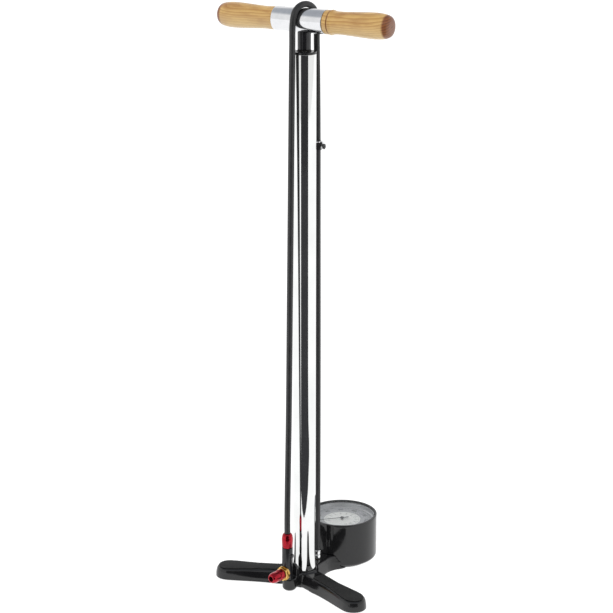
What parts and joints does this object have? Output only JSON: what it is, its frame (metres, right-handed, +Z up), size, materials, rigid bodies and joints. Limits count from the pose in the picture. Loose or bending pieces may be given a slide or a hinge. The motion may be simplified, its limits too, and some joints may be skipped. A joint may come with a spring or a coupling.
{
  "type": "floor bike pump",
  "caption": "Upright hand pump on a three-legged cast base: steel barrel, T handle with wooden grips, pressure gauge, and a hose with a screw-on valve chuck parked over the handle.",
  "frame": {"origin": "on the barrel's axis where the base stands on the floor", "axes": "+Z up along the barrel, +X along the handle, +Y from the barrel towards the gauge"},
  "size_m": [0.225, 0.2035, 0.7089],
  "materials": {
    "black_enamel": "gloss enamel",
    "black_rubber": "moulded, matt",
    "polished_steel": "polished",
    "black_anodised": "satin, anodised",
    "polished_aluminium": "polished",
    "plain_aluminium": "turned",
    "red_anodised": "anodised",
    "brass": "turned",
    "oiled_bronze": "sintered, oiled",
    "varnished_wood": "clear varnish",
    "black_plastic": "moulded",
    "printed_dial": "printed, satin",
    "clear_lens": "clear acrylic"
  },
  "bodies": {
    "frame": {"base_casting": "black_enamel", "tread_pad_left": "black_rubber", "tread_pad_right": "black_rubber", "foot_left": "black_rubber", "foot_right": "black_rubber", "foot_back": "black_rubber", "barrel_gasket": "black_rubber", "barrel_tube": "polished_steel", "barrel_cap": "black_anodised", "rod_bush": "oiled_bronze", "rod_wiper": "black_rubber", "top_bumper": "black_rubber", "valve_body": "brass", "valve_spring": "polished_steel", "hose_fitting": "brass", "hose_ferrule": "polished_steel", "hose": "black_rubber", "chuck_collar": "red_anodised", "chuck_body": "black_anodised", "chuck_ring": "brass", "dock_peg": "brass", "bleed_spring": "polished_steel", "gauge_housing": "black_enamel", "gauge_socket": "brass", "bourdon_tube": "brass", "gauge_movement": "brass", "gauge_dial": "printed_dial", "gauge_inner_ring": "plain_aluminium", "gauge_lens": "clear_lens", "lens_ring": "black_plastic", "gauge_screw_1": "polished_steel", "gauge_screw_2": "polished_steel", "gauge_screw_3": "polished_steel"},
    "plunger": {"piston_rod": "polished_steel", "stem_bumper": "black_rubber", "handle_stem": "black_anodised", "handle_sleeve": "polished_aluminium", "handle_bolt": "polished_steel", "grip_left": "varnished_wood", "grip_right": "varnished_wood", "grip_collar": "varnished_wood", "piston_head": "plain_aluminium", "piston_seal": "black_rubber", "piston_washer": "polished_steel", "piston_nut": "polished_steel", "hose_clip": "black_rubber", "clip_band": "polished_aluminium", "clip_screw": "black_anodised"},
    "needle": {"gauge_needle": "black_plastic", "needle_arbor": "polished_steel"},
    "valve_ball": {"check_ball": "polished_steel"},
    "chuck_tip": {"chuck_head": "red_anodised", "chuck_gland": "black_rubber", "flip_insert": "brass"},
    "bleed_valve": {"bleed_button": "black_anodised"}
  },
  "joints": [
    {"name": "handle_stroke", "type": "slide", "parent": "frame", "child": "plunger", "axis": [0, 0, 1], "range_m": [0, 0.574], "deforming": ["hose"]},
    {"name": "needle_turn", "type": "hinge", "parent": "frame", "child": "needle", "pos_m": [0, 0.0915, 0.0503], "axis": [0, 0, -1], "range_deg": [0, 270], "stiffness_Nm_per_rad": 0.0005},
    {"name": "valve_lift", "type": "slide", "parent": "frame", "child": "valve_ball", "axis": [0, 0, -1], "range_m": [0, 0.0015], "stiffness_N_per_m": 100, "springref_m": -0.001, "deforming": ["valve_spring"]},
    {"name": "chuck_tip_turn", "type": "hinge", "parent": "frame", "child": "chuck_tip", "pos_m": [0, -0.0387, 0.0287], "axis": [-0.1736, -0.9848, 0], "continuous": true},
    {"name": "bleed_press", "type": "slide", "parent": "frame", "child": "bleed_valve", "axis": [-1, 0, 0], "range_m": [0, 0.001], "stiffness_N_per_m": 800, "springref_m": -0.0005, "deforming": ["bleed_spring"]}
  ]
}
